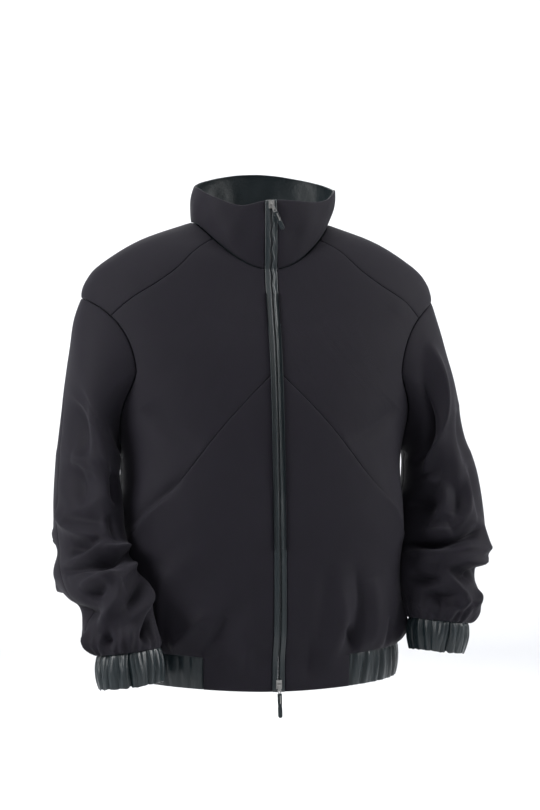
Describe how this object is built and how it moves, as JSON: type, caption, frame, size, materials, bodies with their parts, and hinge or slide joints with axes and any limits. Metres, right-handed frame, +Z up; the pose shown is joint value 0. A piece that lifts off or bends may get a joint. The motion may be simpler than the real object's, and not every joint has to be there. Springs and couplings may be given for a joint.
{
  "type": "reversible jacket",
  "caption": "Loose reversible wool jacket with a tall stand collar, two-way zip, diagonal front seams and gathered dark satin cuffs and hem, held in its worn, hollow form.",
  "frame": {"origin": "centre of the jacket between the shoulders, level with the side neck points, where the wearer's shoulders hold it", "axes": "+Z up, +Y to the wearer's back, -Y to the front, +X to the wearer's left"},
  "size_m": [0.6745, 0.3449, 0.8277],
  "materials": {
    "wool_twill": "matt charcoal-black wool twill with a faint soft sheen",
    "teal_satin": "dark teal-grey satin with a soft broad highlight",
    "zip_tape_cloth": "fine dark woven tape, matt",
    "zip_metal": "small cast zip hardware, polished and lightly worn"
  },
  "bodies": {
    "jacket": {"back": "wool_twill", "collar": "wool_twill", "collar_lining": "teal_satin", "hem_band": "teal_satin", "front_upper_right": "wool_twill", "front_lower_right": "wool_twill", "sleeve_front_right": "wool_twill", "sleeve_back_right": "wool_twill", "cuff_right": "teal_satin", "zip_strip_right": "teal_satin", "zip_tape_right": "zip_tape_cloth", "front_upper_left": "wool_twill", "front_lower_left": "wool_twill", "sleeve_front_left": "wool_twill", "sleeve_back_left": "wool_twill", "cuff_left": "teal_satin", "zip_strip_left": "teal_satin", "zip_tape_left": "zip_tape_cloth", "slider_top": "zip_metal", "slider_bottom": "zip_metal"},
    "top_pull": {"puller_top": "zip_metal", "pull_tab_top": "teal_satin", "pull_bar_top": "zip_metal"},
    "bottom_pull": {"puller_bottom": "zip_metal", "pull_tab_bottom": "teal_satin", "pull_bar_bottom": "zip_metal"}
  },
  "joints": [
    {"name": "top_pull_hinge", "type": "hinge", "parent": "jacket", "child": "top_pull", "pos_m": [0, -0.10276, 0.03846], "axis": [-1, 0, 0], "range_deg": [0, 100]},
    {"name": "bottom_pull_hinge", "type": "hinge", "parent": "jacket", "child": "bottom_pull", "pos_m": [0, -0.16134, -0.67539], "axis": [-1, 0, 0], "range_deg": [0, 100]}
  ]
}
